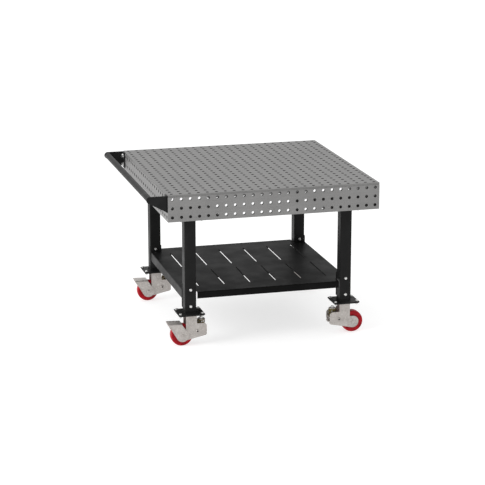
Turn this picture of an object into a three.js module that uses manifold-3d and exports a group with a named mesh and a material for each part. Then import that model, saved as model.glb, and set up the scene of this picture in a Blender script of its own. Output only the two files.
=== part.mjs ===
// Mobile welding table: a perforated steel fixture top with deep perforated skirts, on four bolted legs
// with a slotted lower shelf, a push handle on the left and four sprung swivel casters, two with brakes.
// Millimetres, +Z up, X to the right, Y to the back. The origin is on the floor under the middle of the
// whole object, handle included.

import * as THREE from 'three';
import { mergeGeometries, mergeVertices } from 'three/addons/utils/BufferGeometryUtils.js';
import Module from 'manifold-3d';

// ---------------------------------------------------------------------------- driving dimensions

const TABLE_SIZE = 1200; // side of the square top
const TABLE_HEIGHT = 896; // floor to work surface
const PLATE = 12; // thickness of top, skirts and ribs
const SKIRT_DEPTH = 150; // work surface to the skirts' lower edge
const HOLE_PITCH = 50;
const HOLE_DIAMETER = 16;
const SKIRT_HOLE_ROWS = 3;

const RIB_OFFSET = 300; // centre line of each rib from the middle of the table
const RIB_DEPTH = 88;
const CORNER_PLATE_INNER = 300; // inner edge of each corner plate from the middle
const CORNER_PLATE_THICKNESS = 8;

const LEG_OFFSET = 450; // leg axis from the middle, both ways
const LEG_WIDTH = 65;
const LEG_WALL = 3;
const HEAD_FLANGE = 150;
const FLANGE_THICKNESS = 8;
const FOOT_PLATE = { x: 150, y: 140, thickness: 5 };

const CASTER_HEIGHT = 185; // floor to the underside of the foot plate

const SHELF_TOP = 308;
const SHELF_SHEET = 3;
const SHELF_HALF = 480; // half the shelf's side
const SHELF_NOTCH = 69; // side of the square notch round each leg
const SHELF_LIP = 39; // depth of the folded front and rear edges
const SHELF_RETURN = 27; // width of the second fold, back under the shelf
const SLOT = { columns: 6, pitch: 150, width: 6.5, length: 310, rowOffset: 202.5 };

const RAIL = { height: 55, width: 60, wall: 4 };
const RAIL_PLATE = { width: 70, height: 140, thickness: 5 };
const BEAM = { height: 60, width: 40, wall: 3 };

const HANDLE_REACH = 97; // tube axis to the left skirt
const HANDLE_DROP = 22; // tube axis below the work surface
const HANDLE_RADIUS = 17;
const HANDLE_WALL = 2.5;
const BRACKET = { thickness: 6, endRadius: 19, top: 3, bottom: 92, flangeWidth: 50, flangeBottom: 97 };

// Caster, measured from its swivel axis and the floor. The wheel trails towards -X.
const WHEEL = { x: -48, radius: 62.5, width: 46, coreRadius: 33 };
const PIVOT = { x: 37, z: 84 };
const MOUNT_PLATE = { x: 144, y: 132, thickness: 4 };
const SPRING = { x: 66, seat: 95, top: 144, radius: 23, wire: 5 };
const YOKE = { front: -28, back: 34, lobeEnd: 91, lobeTop: 128, bottom: 74, top: 176 };
const YOKE_HALF = 35; // outer face of each side plate from the caster's middle plane
const ARM_HALF = 30;
const SHEET = 4; // yoke and arm sheet
const PEDAL = { half: 39, sheet: 3, tipX: -127, backX: -50, tipZ: 134, backZ: 131, endRadius: 35 };
const KINGPIN_RADIUS = 8;
const SHAFT_RADIUS = 6; // axle and pivot bolt
const SPRING_BOLT_RADIUS = 5;
const RUNNING_GAP = 0.8; // between a faceted shaft and its faceted bore
const FIT_GAP = 0.3; // between pieces that touch

// ------------------------------------------------------------------------------------- materials

const LOOKS = {
  steel: { color: 0x8c8c8a, roughness: 0.45, metalness: 0.9 },
  black: { color: 0x1d1d1e, roughness: 0.5, metalness: 0.1 },
  zinc: { color: 0xbdb8b2, roughness: 0.35, metalness: 0.9 },
  bolt: { color: 0xc4c4c2, roughness: 0.3, metalness: 1.0 },
  spring: { color: 0x8a7a3c, roughness: 0.4, metalness: 0.9 },
  tyre: { color: 0xb01020, roughness: 0.45, metalness: 0.0 },
  core: { color: 0x222222, roughness: 0.6, metalness: 0.0 },
};

function mesh(name, geometry, look) {
  const made = new THREE.Mesh(geometry, new THREE.MeshStandardMaterial(LOOKS[look]));
  made.name = name;
  return made;
}

// ------------------------------------------------------------------------------ joining, cutting

const wasm = await Module();
wasm.setup();

function toManifold(geometry) {
  const bare = geometry.clone();
  bare.deleteAttribute('normal');
  bare.deleteAttribute('uv');
  const merged = mergeVertices(bare, 1e-4);
  return new wasm.Manifold(new wasm.Mesh({
    numProp: 3,
    vertProperties: new Float32Array(merged.attributes.position.array),
    triVerts: new Uint32Array(merged.index.array),
  }));
}

function toGeometry(manifold) {
  const { vertProperties, triVerts } = manifold.getMesh();
  const geometry = new THREE.BufferGeometry();
  geometry.setAttribute('position', new THREE.BufferAttribute(new Float32Array(vertProperties), 3));
  geometry.setIndex(new THREE.BufferAttribute(new Uint32Array(triVerts), 1));
  geometry.computeVertexNormals();
  return geometry;
}

// One geometry: everything in `solids` joined, less everything in `cuts`.
function combine(solids, cuts = []) {
  const joined = solids.map(toManifold).reduce((sum, next) => sum.add(next));
  return toGeometry(cuts.map(toManifold).reduce((left, cut) => left.subtract(cut), joined));
}

// ---------------------------------------------------------------------------------- basic shapes

const SHAFT_SIDES = 8;
const DISC_SIDES = 14;
const ARC_STEPS = 3;

function box(x, y, z) {
  const geometry = new THREE.BoxGeometry(x[1] - x[0], y[1] - y[0], z[1] - z[0]);
  return geometry.translate((x[0] + x[1]) / 2, (y[0] + y[1]) / 2, (z[0] + z[1]) / 2);
}

// A prism or cylinder along Y, from y[0] to y[1], about the line through x, z.
function rodY(radius, x, z, y, sides = SHAFT_SIDES) {
  const geometry = new THREE.CylinderGeometry(radius, radius, y[1] - y[0], sides);
  return geometry.translate(x, (y[0] + y[1]) / 2, z);
}

function rodZ(radius, x, y, z, sides = SHAFT_SIDES) {
  const geometry = new THREE.CylinderGeometry(radius, radius, z[1] - z[0], sides);
  return geometry.rotateX(Math.PI / 2).translate(x, y, (z[0] + z[1]) / 2);
}

// An outline drawn in X and Z, made solid from y[0] to y[1].
function plateXZ(shape, y, curveSegments = ARC_STEPS) {
  const depth = y[1] - y[0];
  const geometry = new THREE.ExtrudeGeometry(shape, { depth, bevelEnabled: false, curveSegments });
  return geometry.rotateX(Math.PI / 2).translate(0, y[1], 0);
}

// The outline round a row of circles given in order anticlockwise, as a belt would lie on them.
function beltShape(circles) {
  const shape = new THREE.Shape();
  circles.forEach((circle, i) => {
    const before = circles[(i + circles.length - 1) % circles.length];
    const after = circles[(i + 1) % circles.length];
    const start = tangentAngle(before, circle);
    let end = tangentAngle(circle, after);
    if (end < start) end += 2 * Math.PI;
    shape.absarc(circle.x, circle.z, circle.r, start, end, false);
  });
  return shape;
}

// Direction, from either centre, of the points where an outer tangent touches two circles.
function tangentAngle(a, b) {
  const along = Math.atan2(b.z - a.z, b.x - a.x);
  const distance = Math.hypot(b.x - a.x, b.z - a.z);
  return along - Math.acos((a.r - b.r) / distance);
}

// ---------------------------------------------------------------------------------- perforations

const HOLE_SIDES = 4;
// Across the corners, chosen so that the faceted hole has the round hole's area.
const HOLE_CORNER_RADIUS = (HOLE_DIAMETER / 2)
  * Math.sqrt((2 * Math.PI) / (HOLE_SIDES * Math.sin((2 * Math.PI) / HOLE_SIDES)));

// The middles of the holes along one side of the table.
const GRID = Array.from({ length: TABLE_SIZE / HOLE_PITCH }, (_, i) => (i + 0.5) * HOLE_PITCH - TABLE_SIZE / 2);

// A plate in X and Y, its thickness along Z from zero, with a hole on the grid in each of `rows`.
function perforatedPlate(x, y, rows) {
  const holes = [];
  for (const column of GRID) {
    for (const row of rows) holes.push(rodZ(HOLE_CORNER_RADIUS, column, row, [-1, PLATE + 1], HOLE_SIDES));
  }
  return combine([box(x, y, [0, PLATE])], [mergeGeometries(holes)]);
}

// ------------------------------------------------------------------------------ top and stiffeners

const HALF = TABLE_SIZE / 2;
const UNDERSIDE = TABLE_HEIGHT - PLATE;
const SKIRT_BOTTOM = TABLE_HEIGHT - SKIRT_DEPTH;

function makeTop() {
  const top = new THREE.Group();
  const plate = mesh('top_plate', perforatedPlate([-HALF, HALF], [-HALF, HALF], GRID), 'steel');
  plate.position.z = UNDERSIDE;
  top.add(plate);

  const rows = Array.from({ length: SKIRT_HOLE_ROWS }, (_, i) => TABLE_HEIGHT - (i + 0.5) * HOLE_PITCH);
  const heights = [SKIRT_BOTTOM, UNDERSIDE];
  for (const [name, y] of [['front', -HALF], ['rear', HALF - PLATE]]) {
    const skirt = perforatedPlate([-HALF, HALF], heights, rows);
    skirt.rotateX(Math.PI / 2).translate(0, y + PLATE, 0);
    top.add(mesh(`skirt_${name}`, skirt, 'steel'));
  }
  const between = [-HALF + PLATE, HALF - PLATE];
  for (const [name, x] of [['left', -HALF], ['right', HALF - PLATE]]) {
    const skirt = perforatedPlate(between, heights, rows);
    skirt.rotateX(Math.PI / 2).rotateZ(Math.PI / 2).translate(x, 0, 0);
    top.add(mesh(`skirt_${name}`, skirt, 'steel'));
  }

  const ribZ = [UNDERSIDE - RIB_DEPTH, UNDERSIDE];
  const outer = RIB_OFFSET + PLATE / 2;
  const inner = RIB_OFFSET - PLATE / 2;
  for (const [name, side] of [['front', -1], ['rear', 1]]) {
    const y = side * RIB_OFFSET;
    top.add(mesh(`rib_${name}`, box([-outer, outer], [y - PLATE / 2, y + PLATE / 2], ribZ), 'steel'));
  }
  for (const [name, side] of [['left', -1], ['right', 1]]) {
    const x = side * RIB_OFFSET;
    top.add(mesh(`rib_${name}`, box([x - PLATE / 2, x + PLATE / 2], [-inner, inner], ribZ), 'steel'));
  }
  return top;
}

// ------------------------------------------------------------------------ one corner of the table

const CORNERS = [
  { name: 'front_left', sx: -1, sy: -1 },
  { name: 'front_right', sx: 1, sy: -1 },
  { name: 'rear_left', sx: -1, sy: 1 },
  { name: 'rear_right', sx: 1, sy: 1 },
];

function centred(centre, width) {
  return [centre - width / 2, centre + width / 2];
}

function makeCornerPlate({ name, sx, sy }) {
  const size = HALF - PLATE - CORNER_PLATE_INNER;
  const middle = CORNER_PLATE_INNER + size / 2;
  const z = [SKIRT_BOTTOM, SKIRT_BOTTOM + CORNER_PLATE_THICKNESS];
  return mesh(`corner_plate_${name}`, box(centred(sx * middle, size), centred(sy * middle, size), z), 'steel');
}

// Square tube with a head flange bolted up to the corner plate and a foot plate over the caster.
// The head flange is open over the tube, so that the tube can drain.
function makeLeg({ name, sx, sy }) {
  const x = sx * LEG_OFFSET;
  const y = sy * LEG_OFFSET;
  const footTop = CASTER_HEIGHT + FOOT_PLATE.thickness;
  const headBottom = SKIRT_BOTTOM - FLANGE_THICKNESS;
  const bore = LEG_WIDTH - 2 * LEG_WALL;
  const solids = [
    box(centred(x, LEG_WIDTH), centred(y, LEG_WIDTH), [CASTER_HEIGHT, SKIRT_BOTTOM]),
    box(centred(x, HEAD_FLANGE), centred(y, HEAD_FLANGE), [headBottom, SKIRT_BOTTOM]),
    box(centred(x, FOOT_PLATE.x), centred(y, FOOT_PLATE.y), [CASTER_HEIGHT, footTop]),
  ];
  const hollow = box(centred(x, bore), centred(y, bore), [footTop, SKIRT_BOTTOM + 1]);
  return mesh(`leg_${name}`, combine(solids, [hollow]), 'black');
}

// -------------------------------------------------------------------------------- shelf and rails

function makeShelf() {
  const bottom = SHELF_TOP - SHELF_SHEET;
  const sheet = box([-SHELF_HALF, SHELF_HALF], [-SHELF_HALF, SHELF_HALF], [bottom, SHELF_TOP]);
  const lipHalf = SHELF_HALF - SHELF_NOTCH;
  const lipBottom = SHELF_TOP - SHELF_LIP;
  const lips = [-1, 1].flatMap((side) => {
    const edge = side * (SHELF_HALF - SHELF_SHEET / 2);
    const fold = side * (SHELF_HALF - SHELF_RETURN / 2);
    return [
      box([-lipHalf, lipHalf], centred(edge, SHELF_SHEET), [lipBottom, SHELF_TOP]),
      box([-lipHalf, lipHalf], centred(fold, SHELF_RETURN), [lipBottom, lipBottom + SHELF_SHEET]),
    ];
  });
  const through = [bottom - 1, SHELF_TOP + 1];
  const notches = CORNERS.map(({ sx, sy }) => {
    const middle = SHELF_HALF - SHELF_NOTCH / 2;
    const size = SHELF_NOTCH;
    return box(centred(sx * (middle + 1), size + 2), centred(sy * (middle + 1), size + 2), through);
  });
  const slots = [];
  for (let column = 0; column < SLOT.columns; column += 1) {
    const x = (column - (SLOT.columns - 1) / 2) * SLOT.pitch;
    for (const side of [-1, 1]) {
      slots.push(box(centred(x, SLOT.width), centred(side * SLOT.rowOffset, SLOT.length), through));
    }
  }
  return mesh('shelf_panel', combine([sheet, ...lips], [...notches, ...slots]), 'black');
}

// Channel, open towards the middle of the table, with a plate at each end bolted to the legs.
function makeRail(name, side) {
  const top = SHELF_TOP - SHELF_SHEET;
  const z = [top - RAIL.height, top];
  const half = LEG_OFFSET - LEG_WIDTH / 2;
  const middle = side * (SHELF_HALF - RAIL.width / 2);
  const channel = box(centred(middle, RAIL.width), [-half, half], z);
  const hollow = box(
    centred(middle - side * RAIL.wall, RAIL.width),
    [-half + RAIL_PLATE.thickness, half - RAIL_PLATE.thickness],
    [z[0] + RAIL.wall, z[1] - RAIL.wall],
  );
  const plateZ = centred((z[0] + z[1]) / 2, RAIL_PLATE.height);
  const plateX = centred(side * LEG_OFFSET, RAIL_PLATE.width);
  const plates = [
    box(plateX, [-half, -half + RAIL_PLATE.thickness], plateZ),
    box(plateX, [half - RAIL_PLATE.thickness, half], plateZ),
  ];
  const channelAlone = combine([channel], [hollow]);
  return mesh(`shelf_rail_${name}`, combine([channelAlone, ...plates]), 'black');
}

// Square tube across the shelf's underside, from rail to rail.
function makeBeam() {
  const z = [SHELF_TOP - SHELF_SHEET - BEAM.height, SHELF_TOP - SHELF_SHEET];
  const half = SHELF_HALF - RAIL.width;
  const tube = box([-half, half], centred(0, BEAM.width), z);
  const bore = box(
    [-half - 1, half + 1],
    centred(0, BEAM.width - 2 * BEAM.wall),
    [z[0] + BEAM.wall, z[1] - BEAM.wall],
  );
  return mesh('shelf_beam_middle', combine([tube], [bore]), 'black');
}

// ------------------------------------------------------------------------------------ push handle

// Round tube parallel to the left edge, welded between two bracket plates. Each plate has a flange
// that two bolts hold to the skirt's outermost holes. A small vent under the tube opens its inside.
function makeHandle() {
  const axisX = -HALF - HANDLE_REACH;
  const axisZ = TABLE_HEIGHT - HANDLE_DROP;
  const plate = new THREE.Shape();
  const lowerRight = { x: -HALF - 8, z: TABLE_HEIGHT - BRACKET.bottom };
  const end = { x: axisX, z: axisZ, r: BRACKET.endRadius };
  const lowAngle = tangentAngle(end, { ...lowerRight, r: 0 }) + 2 * Math.PI;
  plate.moveTo(-HALF, TABLE_HEIGHT - BRACKET.top);
  plate.absarc(end.x, end.z, end.r, Math.PI / 2, lowAngle, false);
  plate.lineTo(lowerRight.x, lowerRight.z);
  plate.lineTo(-HALF, lowerRight.z);
  plate.closePath();

  const flangeX = [-HALF - BRACKET.thickness, -HALF];
  const flangeZ = [TABLE_HEIGHT - BRACKET.flangeBottom, TABLE_HEIGHT - BRACKET.top];
  const solids = [rodY(HANDLE_RADIUS, axisX, axisZ, [-HALF + 1, HALF - 1], DISC_SIDES)];
  for (const side of [-1, 1]) {
    const edge = side * HALF;
    const inner = side * (HALF - BRACKET.thickness);
    solids.push(plateXZ(plate, [Math.min(edge, inner), Math.max(edge, inner)]));
    solids.push(box(flangeX, centred(side * (HALF - BRACKET.flangeWidth / 2), BRACKET.flangeWidth), flangeZ));
  }
  const boreEnd = HALF - BRACKET.thickness;
  const bore = rodY(HANDLE_RADIUS - HANDLE_WALL, axisX, axisZ, [-boreEnd, boreEnd], DISC_SIDES);
  const vent = rodZ(3, axisX, boreEnd - 20, [axisZ - HANDLE_RADIUS - 1, axisZ], 8);
  return mesh('push_handle', combine(solids, [bore, vent]), 'black');
}

// ---------------------------------------------------------------------------------------- casters

const BORE = SHAFT_RADIUS + RUNNING_GAP;
const AXLE_Z = WHEEL.radius;

// Fixed part of the swivel head: top plate, bearing cup and kingpin with its riveted end.
function makeMountPlate() {
  const plateBottom = CASTER_HEIGHT - MOUNT_PLATE.thickness;
  const cupBottom = YOKE.top + 3;
  return combine([
    box(centred(0, MOUNT_PLATE.x), centred(0, MOUNT_PLATE.y), [plateBottom, CASTER_HEIGHT]),
    rodZ(32, 0, 0, [cupBottom, plateBottom + 1], DISC_SIDES),
    rodZ(KINGPIN_RADIUS, 0, 0, [YOKE.top - 15, plateBottom]),
    rodZ(13, 0, 0, [YOKE.top - 16, YOKE.top - 6 - FIT_GAP]),
  ]);
}

// Folded bracket: two side plates with a lobe at the back, a top web on the swivel bearing and a
// cross web that the spring stands on.
function makeYoke() {
  const lobeRound = 18;
  const corner = 6;
  const side = new THREE.Shape();
  side.moveTo(YOKE.front, YOKE.top);
  side.lineTo(YOKE.front, YOKE.bottom + 16);
  side.lineTo(YOKE.front + 12, YOKE.bottom);
  side.lineTo(YOKE.lobeEnd - corner, YOKE.bottom);
  side.absarc(YOKE.lobeEnd - corner, YOKE.bottom + corner, corner, -Math.PI / 2, 0, false);
  side.absarc(YOKE.lobeEnd - lobeRound, YOKE.lobeTop - lobeRound, lobeRound, 0, Math.PI / 2, false);
  side.lineTo(YOKE.back, YOKE.lobeTop);
  side.lineTo(YOKE.back, YOKE.top);
  side.closePath();
  const inner = YOKE_HALF - SHEET;
  const web = [YOKE.top - 6, YOKE.top];
  const solids = [
    plateXZ(side, [-YOKE_HALF, -inner]),
    plateXZ(side, [inner, YOKE_HALF]),
    box([YOKE.front, YOKE.back], [-YOKE_HALF, YOKE_HALF], web),
    box([57, 88], [-inner - 1, inner + 1], [SPRING.seat - SHEET, SPRING.seat]),
    rodZ(28, 0, 0, [web[0] + 1, YOKE.top + 2.5], DISC_SIDES),
  ];
  return combine(solids, [
    rodZ(KINGPIN_RADIUS + RUNNING_GAP, 0, 0, [web[0] - 1, YOKE.top + 4]),
    rodZ(SPRING_BOLT_RADIUS + 1, SPRING.x, 0, [SPRING.seat - SHEET - 1, SPRING.seat + 1]),
    rodY(BORE, PIVOT.x, PIVOT.z, [-YOKE_HALF - 1, YOKE_HALF + 1]),
  ]);
}

// Swing arm: two sheets between the yoke's sides, carrying the axle at one end and pulled up by the
// spring bolt at the other, with a cross web for the bolt.
function makeArm() {
  const circles = [
    { x: WHEEL.x, z: AXLE_Z, r: 34 },
    { x: 80, z: 67.5, r: 12.5 },
    { x: PIVOT.x, z: PIVOT.z, r: 13 },
  ];
  const inner = ARM_HALF - SHEET;
  const outline = beltShape(circles);
  const solids = [
    plateXZ(outline, [-ARM_HALF, -inner]),
    plateXZ(outline, [inner, ARM_HALF]),
    box([54, 82], [-inner - 1, inner + 1], [60, 64]),
  ];
  return combine(solids, [
    rodY(BORE, WHEEL.x, AXLE_Z, [-ARM_HALF - 1, ARM_HALF + 1]),
    rodY(BORE, PIVOT.x, PIVOT.z, [-ARM_HALF - 1, ARM_HALF + 1]),
    box([SPRING.x - 6.5, SPRING.x + 10], [-6.5, 6.5], [59, 65]),
  ]);
}

// Shaft along Y with a hexagon head and nut just outside the plates it holds.
function makeCrossBolt(x, z, plateFace) {
  const seat = plateFace + FIT_GAP;
  const end = seat + 7;
  return combine([
    rodY(SHAFT_RADIUS, x, z, [-end + 1, end - 1]),
    rodY(10.5, x, z, [-end, -seat], 6),
    rodY(10.5, x, z, [seat, end], 6),
  ]);
}

// Closed ring turned about the axle, from [radius, y] points.
function turnedRing(points) {
  const closed = [...points, points[0]].map(([radius, y]) => new THREE.Vector2(radius, y));
  return new THREE.LatheGeometry(closed, DISC_SIDES).translate(WHEEL.x, 0, AXLE_Z);
}

function makeTyre() {
  const half = WHEEL.width / 2;
  return turnedRing([
    [WHEEL.coreRadius, -half + 2],
    [WHEEL.radius - 6, -half],
    [WHEEL.radius, -half + 11],
    [WHEEL.radius, half - 11],
    [WHEEL.radius - 6, half],
    [WHEEL.coreRadius, half - 2],
  ]);
}

function makeHub() {
  const rim = WHEEL.coreRadius - FIT_GAP;
  const boss = ARM_HALF - SHEET - 1.5;
  return turnedRing([
    [SHAFT_RADIUS + RUNNING_GAP, -boss],
    [16, -boss],
    [rim - 6, -9],
    [rim, -20],
    [rim, 20],
    [rim - 6, 9],
    [16, boss],
    [SHAFT_RADIUS + RUNNING_GAP, boss],
  ]);
}

function makeSpring() {
  const inner = SPRING.radius - SPRING.wire;
  const bottom = SPRING.seat + FIT_GAP;
  const top = SPRING.top - FIT_GAP;
  const tube = rodZ(SPRING.radius, SPRING.x, 0, [bottom, top], DISC_SIDES);
  return combine([tube], [rodZ(inner, SPRING.x, 0, [bottom - 1, top + 1], DISC_SIDES)]);
}

// Long bolt through spring and webs: its washer and nut press on the spring's top, and its head
// hangs under the swing arm's web.
function makeSpringBolt() {
  const washerTop = SPRING.top + 3;
  return combine([
    rodZ(SPRING_BOLT_RADIUS, SPRING.x, 0, [53, washerTop + 12]),
    rodZ(21, SPRING.x, 0, [SPRING.top, washerTop], DISC_SIDES),
    rodZ(10.5, SPRING.x, 0, [washerTop - 1, washerTop + 10], 6),
    rodZ(9, SPRING.x, 0, [51, 58], 6),
  ]);
}

// Brake pedal: a folded sheet over the wheel, turning on the axle outside the swing arm.
function makePedal() {
  const belt = beltShape([
    { x: WHEEL.x, z: AXLE_Z, r: PEDAL.endRadius },
    { x: PEDAL.backX - 0.5, z: PEDAL.backZ - 0.5, r: 0.5 },
    { x: PEDAL.tipX + 0.5, z: PEDAL.tipZ - 0.5, r: 0.5 },
  ]);
  const inner = PEDAL.half - PEDAL.sheet;
  const tread = new THREE.Shape();
  tread.moveTo(PEDAL.backX, PEDAL.backZ - PEDAL.sheet);
  tread.lineTo(PEDAL.backX, PEDAL.backZ);
  tread.lineTo(PEDAL.tipX, PEDAL.tipZ);
  tread.lineTo(PEDAL.tipX, PEDAL.tipZ - PEDAL.sheet);
  tread.closePath();
  const solids = [
    plateXZ(belt, [-PEDAL.half, -inner]),
    plateXZ(belt, [inner, PEDAL.half]),
    plateXZ(tread, [-PEDAL.half, PEDAL.half]),
  ];
  return combine(solids, [rodY(BORE, WHEEL.x, AXLE_Z, [-PEDAL.half - 1, PEDAL.half + 1])]);
}

function makeCaster({ name, sx, sy }) {
  const braked = sx < 0;
  const caster = new THREE.Group();
  const add = (piece, geometry, look) => caster.add(mesh(`caster_${name}_${piece}`, geometry, look));
  add('mount_plate', makeMountPlate(), 'black');
  add('yoke', makeYoke(), 'zinc');
  add('arm', makeArm(), 'zinc');
  add('pivot_bolt', makeCrossBolt(PIVOT.x, PIVOT.z, YOKE_HALF), 'bolt');
  add('axle', makeCrossBolt(WHEEL.x, AXLE_Z, braked ? PEDAL.half : ARM_HALF), 'bolt');
  add('tyre', makeTyre(), 'tyre');
  add('hub', makeHub(), 'core');
  add('spring', makeSpring(), 'spring');
  add('spring_bolt', makeSpringBolt(), 'bolt');
  if (braked) add('pedal', makePedal(), 'zinc');
  caster.position.set(sx * LEG_OFFSET, sy * LEG_OFFSET, 0);
  caster.rotation.z = sx < 0 ? 0 : Math.PI;
  return caster;
}

// --------------------------------------------------------------------------------- whole object

const table = new THREE.Group();
table.add(makeTop());
for (const corner of CORNERS) {
  table.add(makeCornerPlate(corner));
  table.add(makeLeg(corner));
  table.add(makeCaster(corner));
}
table.add(makeShelf());
table.add(makeRail('left', -1));
table.add(makeRail('right', 1));
table.add(makeBeam());
table.add(makeHandle());

// The handle reaches past the left edge, so the table stands right of the middle.
table.position.x = (HANDLE_REACH + BRACKET.endRadius) / 2;

export default table;
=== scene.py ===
"""Looks of the mobile welding table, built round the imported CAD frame.

Lengths below are millimetres in the table's own frame, whose middle is at x = 0. Pieces are scaled to
metres and moved into the frame's place when they are made.
"""

import math

import bmesh
import bpy
from mathutils import Matrix, Vector
from mathutils.geometry import delaunay_2d_cdt


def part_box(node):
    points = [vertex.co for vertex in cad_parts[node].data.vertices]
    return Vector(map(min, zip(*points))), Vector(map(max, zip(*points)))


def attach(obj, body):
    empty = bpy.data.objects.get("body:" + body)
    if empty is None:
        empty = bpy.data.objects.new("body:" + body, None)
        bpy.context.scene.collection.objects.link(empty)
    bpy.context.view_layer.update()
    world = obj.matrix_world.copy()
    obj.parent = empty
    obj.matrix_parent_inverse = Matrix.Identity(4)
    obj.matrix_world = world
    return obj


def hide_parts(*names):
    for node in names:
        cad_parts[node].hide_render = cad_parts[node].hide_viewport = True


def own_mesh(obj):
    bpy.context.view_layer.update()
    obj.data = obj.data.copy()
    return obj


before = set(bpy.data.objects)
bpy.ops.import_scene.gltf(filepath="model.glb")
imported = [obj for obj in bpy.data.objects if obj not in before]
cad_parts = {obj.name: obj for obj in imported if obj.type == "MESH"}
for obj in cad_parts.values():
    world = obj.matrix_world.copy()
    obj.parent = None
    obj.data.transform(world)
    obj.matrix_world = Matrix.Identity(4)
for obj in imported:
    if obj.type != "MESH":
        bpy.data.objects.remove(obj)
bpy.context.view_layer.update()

# ------------------------------------------------------------------------------- dimensions, mm

SKIRT_LOW, SKIRT_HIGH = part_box("skirt_front")[0].z * 1000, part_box("skirt_front")[1].z * 1000
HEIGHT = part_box("top_plate")[1].z * 1000
HALF = (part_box("top_plate")[1].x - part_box("top_plate")[0].x) * 500
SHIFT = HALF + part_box("top_plate")[0].x * 1000
PLATE = 12
PITCH = 50
HOLE_RADIUS = 8
HOLES = 24
GRID = [(i + 0.5) * PITCH - HALF for i in range(HOLES)]
LEG = 450
LEG_HALF = 32.5
FOOT_LOW, FOOT_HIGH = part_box("leg_front_left")[0].z * 1000, 190
MOUNT_LOW = FOOT_LOW - 4
HEAD_LOW, HEAD_HIGH = SKIRT_LOW - 8, SKIRT_LOW
SHELF_TOP, SHELF_EDGE, SHELF_SHEET = 308, 480, 3
RAIL_LOW, RAIL_INNER, RAIL_END = 250, 420, LEG - LEG_HALF
HANDLE_X, HANDLE_Z, HANDLE_RADIUS = -HALF - 97, HEIGHT - 22, 17
WHEEL_X, AXLE_Z, WHEEL_RADIUS = -48, 62.5, 62.5
PIVOT_X, PIVOT_Z = 37, 84
YOKE_TOP = 176
SPRING_X, SPRING_LOW, SPRING_HIGH, SPRING_RADIUS, WIRE = 66, 95.3, 143.7, 23, 5
PIN_RADIUS, PIN_BORE = 5.9, 6.6
HEAD_BOLTS = [(x, y) for x in (-58, 58) for y in (-58, 58)]
FOOT_BOLTS = [(x, y) for x in (-62, 62) for y in (-50, 50)]
RAIL_BOLTS_Z = (323.5, 228.5)
CORNERS = {
    "front_left": (-1, -1),
    "front_right": (1, -1),
    "rear_left": (-1, 1),
    "rear_right": (1, 1),
}
TO_FRAME = Matrix.Scale(0.001, 4) @ Matrix.Translation((SHIFT, 0, 0))


# ------------------------------------------------------------------------------------ materials

class Looks:
    """A node material being wired up: noise patterns feed colour, roughness and bump."""

    def __init__(self, name, **constants):
        self.material = bpy.data.materials.new(name)
        self.material.use_nodes = True
        self.tree = self.material.node_tree
        self.shader = self.tree.nodes["Principled BSDF"]
        for socket, value in constants.items():
            self.shader.inputs[socket.replace("_", " ")].default_value = value
        self.coordinates = self.tree.nodes.new("ShaderNodeTexCoord").outputs["Object"]

    def link(self, source, target):
        self.tree.links.new(source, target)

    def noise(self, scale, detail=4.0, stretch=(1, 1, 1), roughness=0.55):
        mapping = self.tree.nodes.new("ShaderNodeMapping")
        mapping.inputs["Scale"].default_value = stretch
        self.link(self.coordinates, mapping.inputs["Vector"])
        made = self.tree.nodes.new("ShaderNodeTexNoise")
        made.inputs["Scale"].default_value = scale
        made.inputs["Detail"].default_value = detail
        made.inputs["Roughness"].default_value = roughness
        self.link(mapping.outputs["Vector"], made.inputs["Vector"])
        return made.outputs["Fac"]

    def cells(self, scale):
        made = self.tree.nodes.new("ShaderNodeTexVoronoi")
        made.inputs["Scale"].default_value = scale
        self.link(self.coordinates, made.inputs["Vector"])
        return made.outputs["Color"]

    def mix(self, a, b, share=0.5):
        made = self.tree.nodes.new("ShaderNodeMix")
        made.data_type = "FLOAT"
        made.inputs["Factor"].default_value = share
        self.link(a, made.inputs["A"])
        self.link(b, made.inputs["B"])
        return made.outputs["Result"]

    def between(self, source, low, high, spread=(0.3, 0.7)):
        made = self.tree.nodes.new("ShaderNodeMapRange")
        made.inputs["From Min"].default_value, made.inputs["From Max"].default_value = spread
        made.inputs["To Min"].default_value, made.inputs["To Max"].default_value = low, high
        self.link(source, made.inputs["Value"])
        return made.outputs["Result"]

    def colours(self, source, stops):
        made = self.tree.nodes.new("ShaderNodeValToRGB")
        ramp = made.color_ramp
        while len(ramp.elements) < len(stops):
            ramp.elements.new(0.5)
        for element, (place, colour) in zip(ramp.elements, stops):
            element.position = place
            element.color = (*colour, 1)
        self.link(source, made.inputs["Fac"])
        self.link(made.outputs["Color"], self.shader.inputs["Base Color"])

    def rough(self, source, low, high):
        self.link(self.between(source, low, high), self.shader.inputs["Roughness"])

    def bump(self, *layers):
        """Each layer is (source, height in mm)."""
        normal = None
        for source, height in layers:
            made = self.tree.nodes.new("ShaderNodeBump")
            made.inputs["Strength"].default_value = 1.0
            made.inputs["Distance"].default_value = height * 0.001
            self.link(source, made.inputs["Height"])
            if normal:
                self.link(normal, made.inputs["Normal"])
            normal = made.outputs["Normal"]
        self.link(normal, self.shader.inputs["Normal"])


def grey(value, warmth=0.0):
    return (value * (1 + warmth), value, value * (1 - warmth))


def steel_plate(name, value, metallic=0.55, rough=(0.42, 0.6)):
    made = Looks(name, Metallic=metallic)
    clouds = made.noise(5, 5)
    grain = made.noise(420, 3, roughness=0.7)
    rolled = made.noise(30, 4, stretch=(0.15, 6, 6))
    tone = made.mix(made.mix(clouds, rolled, 0.4), grain, 0.35)
    made.colours(tone, [
        (0.34, grey(value * 0.80, 0.01)),
        (0.50, grey(value, 0.012)),
        (0.64, grey(value * 1.17, 0.015)),
    ])
    made.rough(made.mix(clouds, grain, 0.5), *rough)
    made.bump((grain, 0.05), (rolled, 0.05))
    return made.material


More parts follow.
